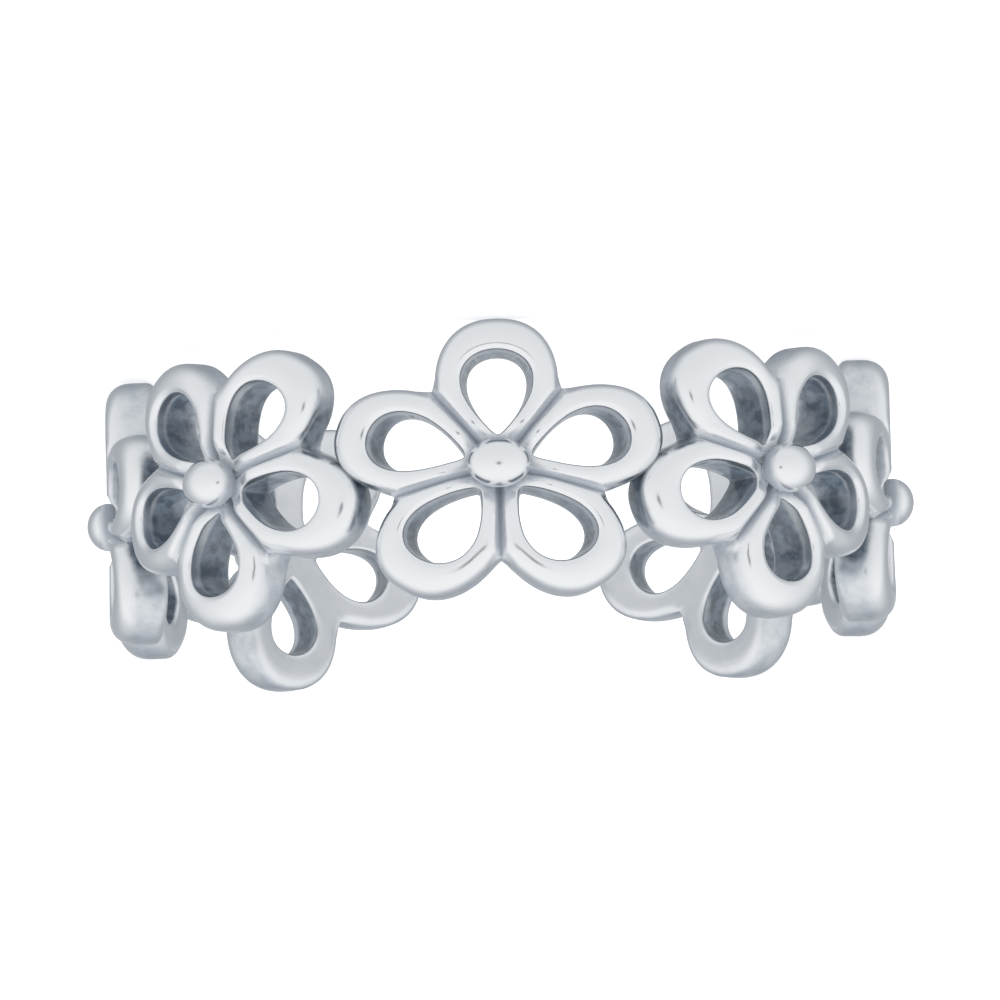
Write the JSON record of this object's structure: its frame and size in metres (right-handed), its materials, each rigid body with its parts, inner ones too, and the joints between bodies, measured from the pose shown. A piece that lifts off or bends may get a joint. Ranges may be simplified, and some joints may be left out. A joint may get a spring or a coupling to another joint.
{
  "type": "toe ring",
  "caption": "Open-backed silver toe ring: a pierced band of open-petal flowers with round bead centres, sprung a little to slip on to a toe.",
  "frame": {"origin": "on the toe opening's axis, at the height of the front flower's centre", "axes": "+Z along the toe opening, up as the ring lies on its side; -Y towards the front flower, opposite the gap at the back"},
  "size_m": [0.0194, 0.0185, 0.0067],
  "materials": {
    "polished_silver": "polished cast sterling silver, faintly darkened in its seams and holes"
  },
  "bodies": {
    "root": {"flower_band": "polished_silver"}
  },
  "joints": []
}
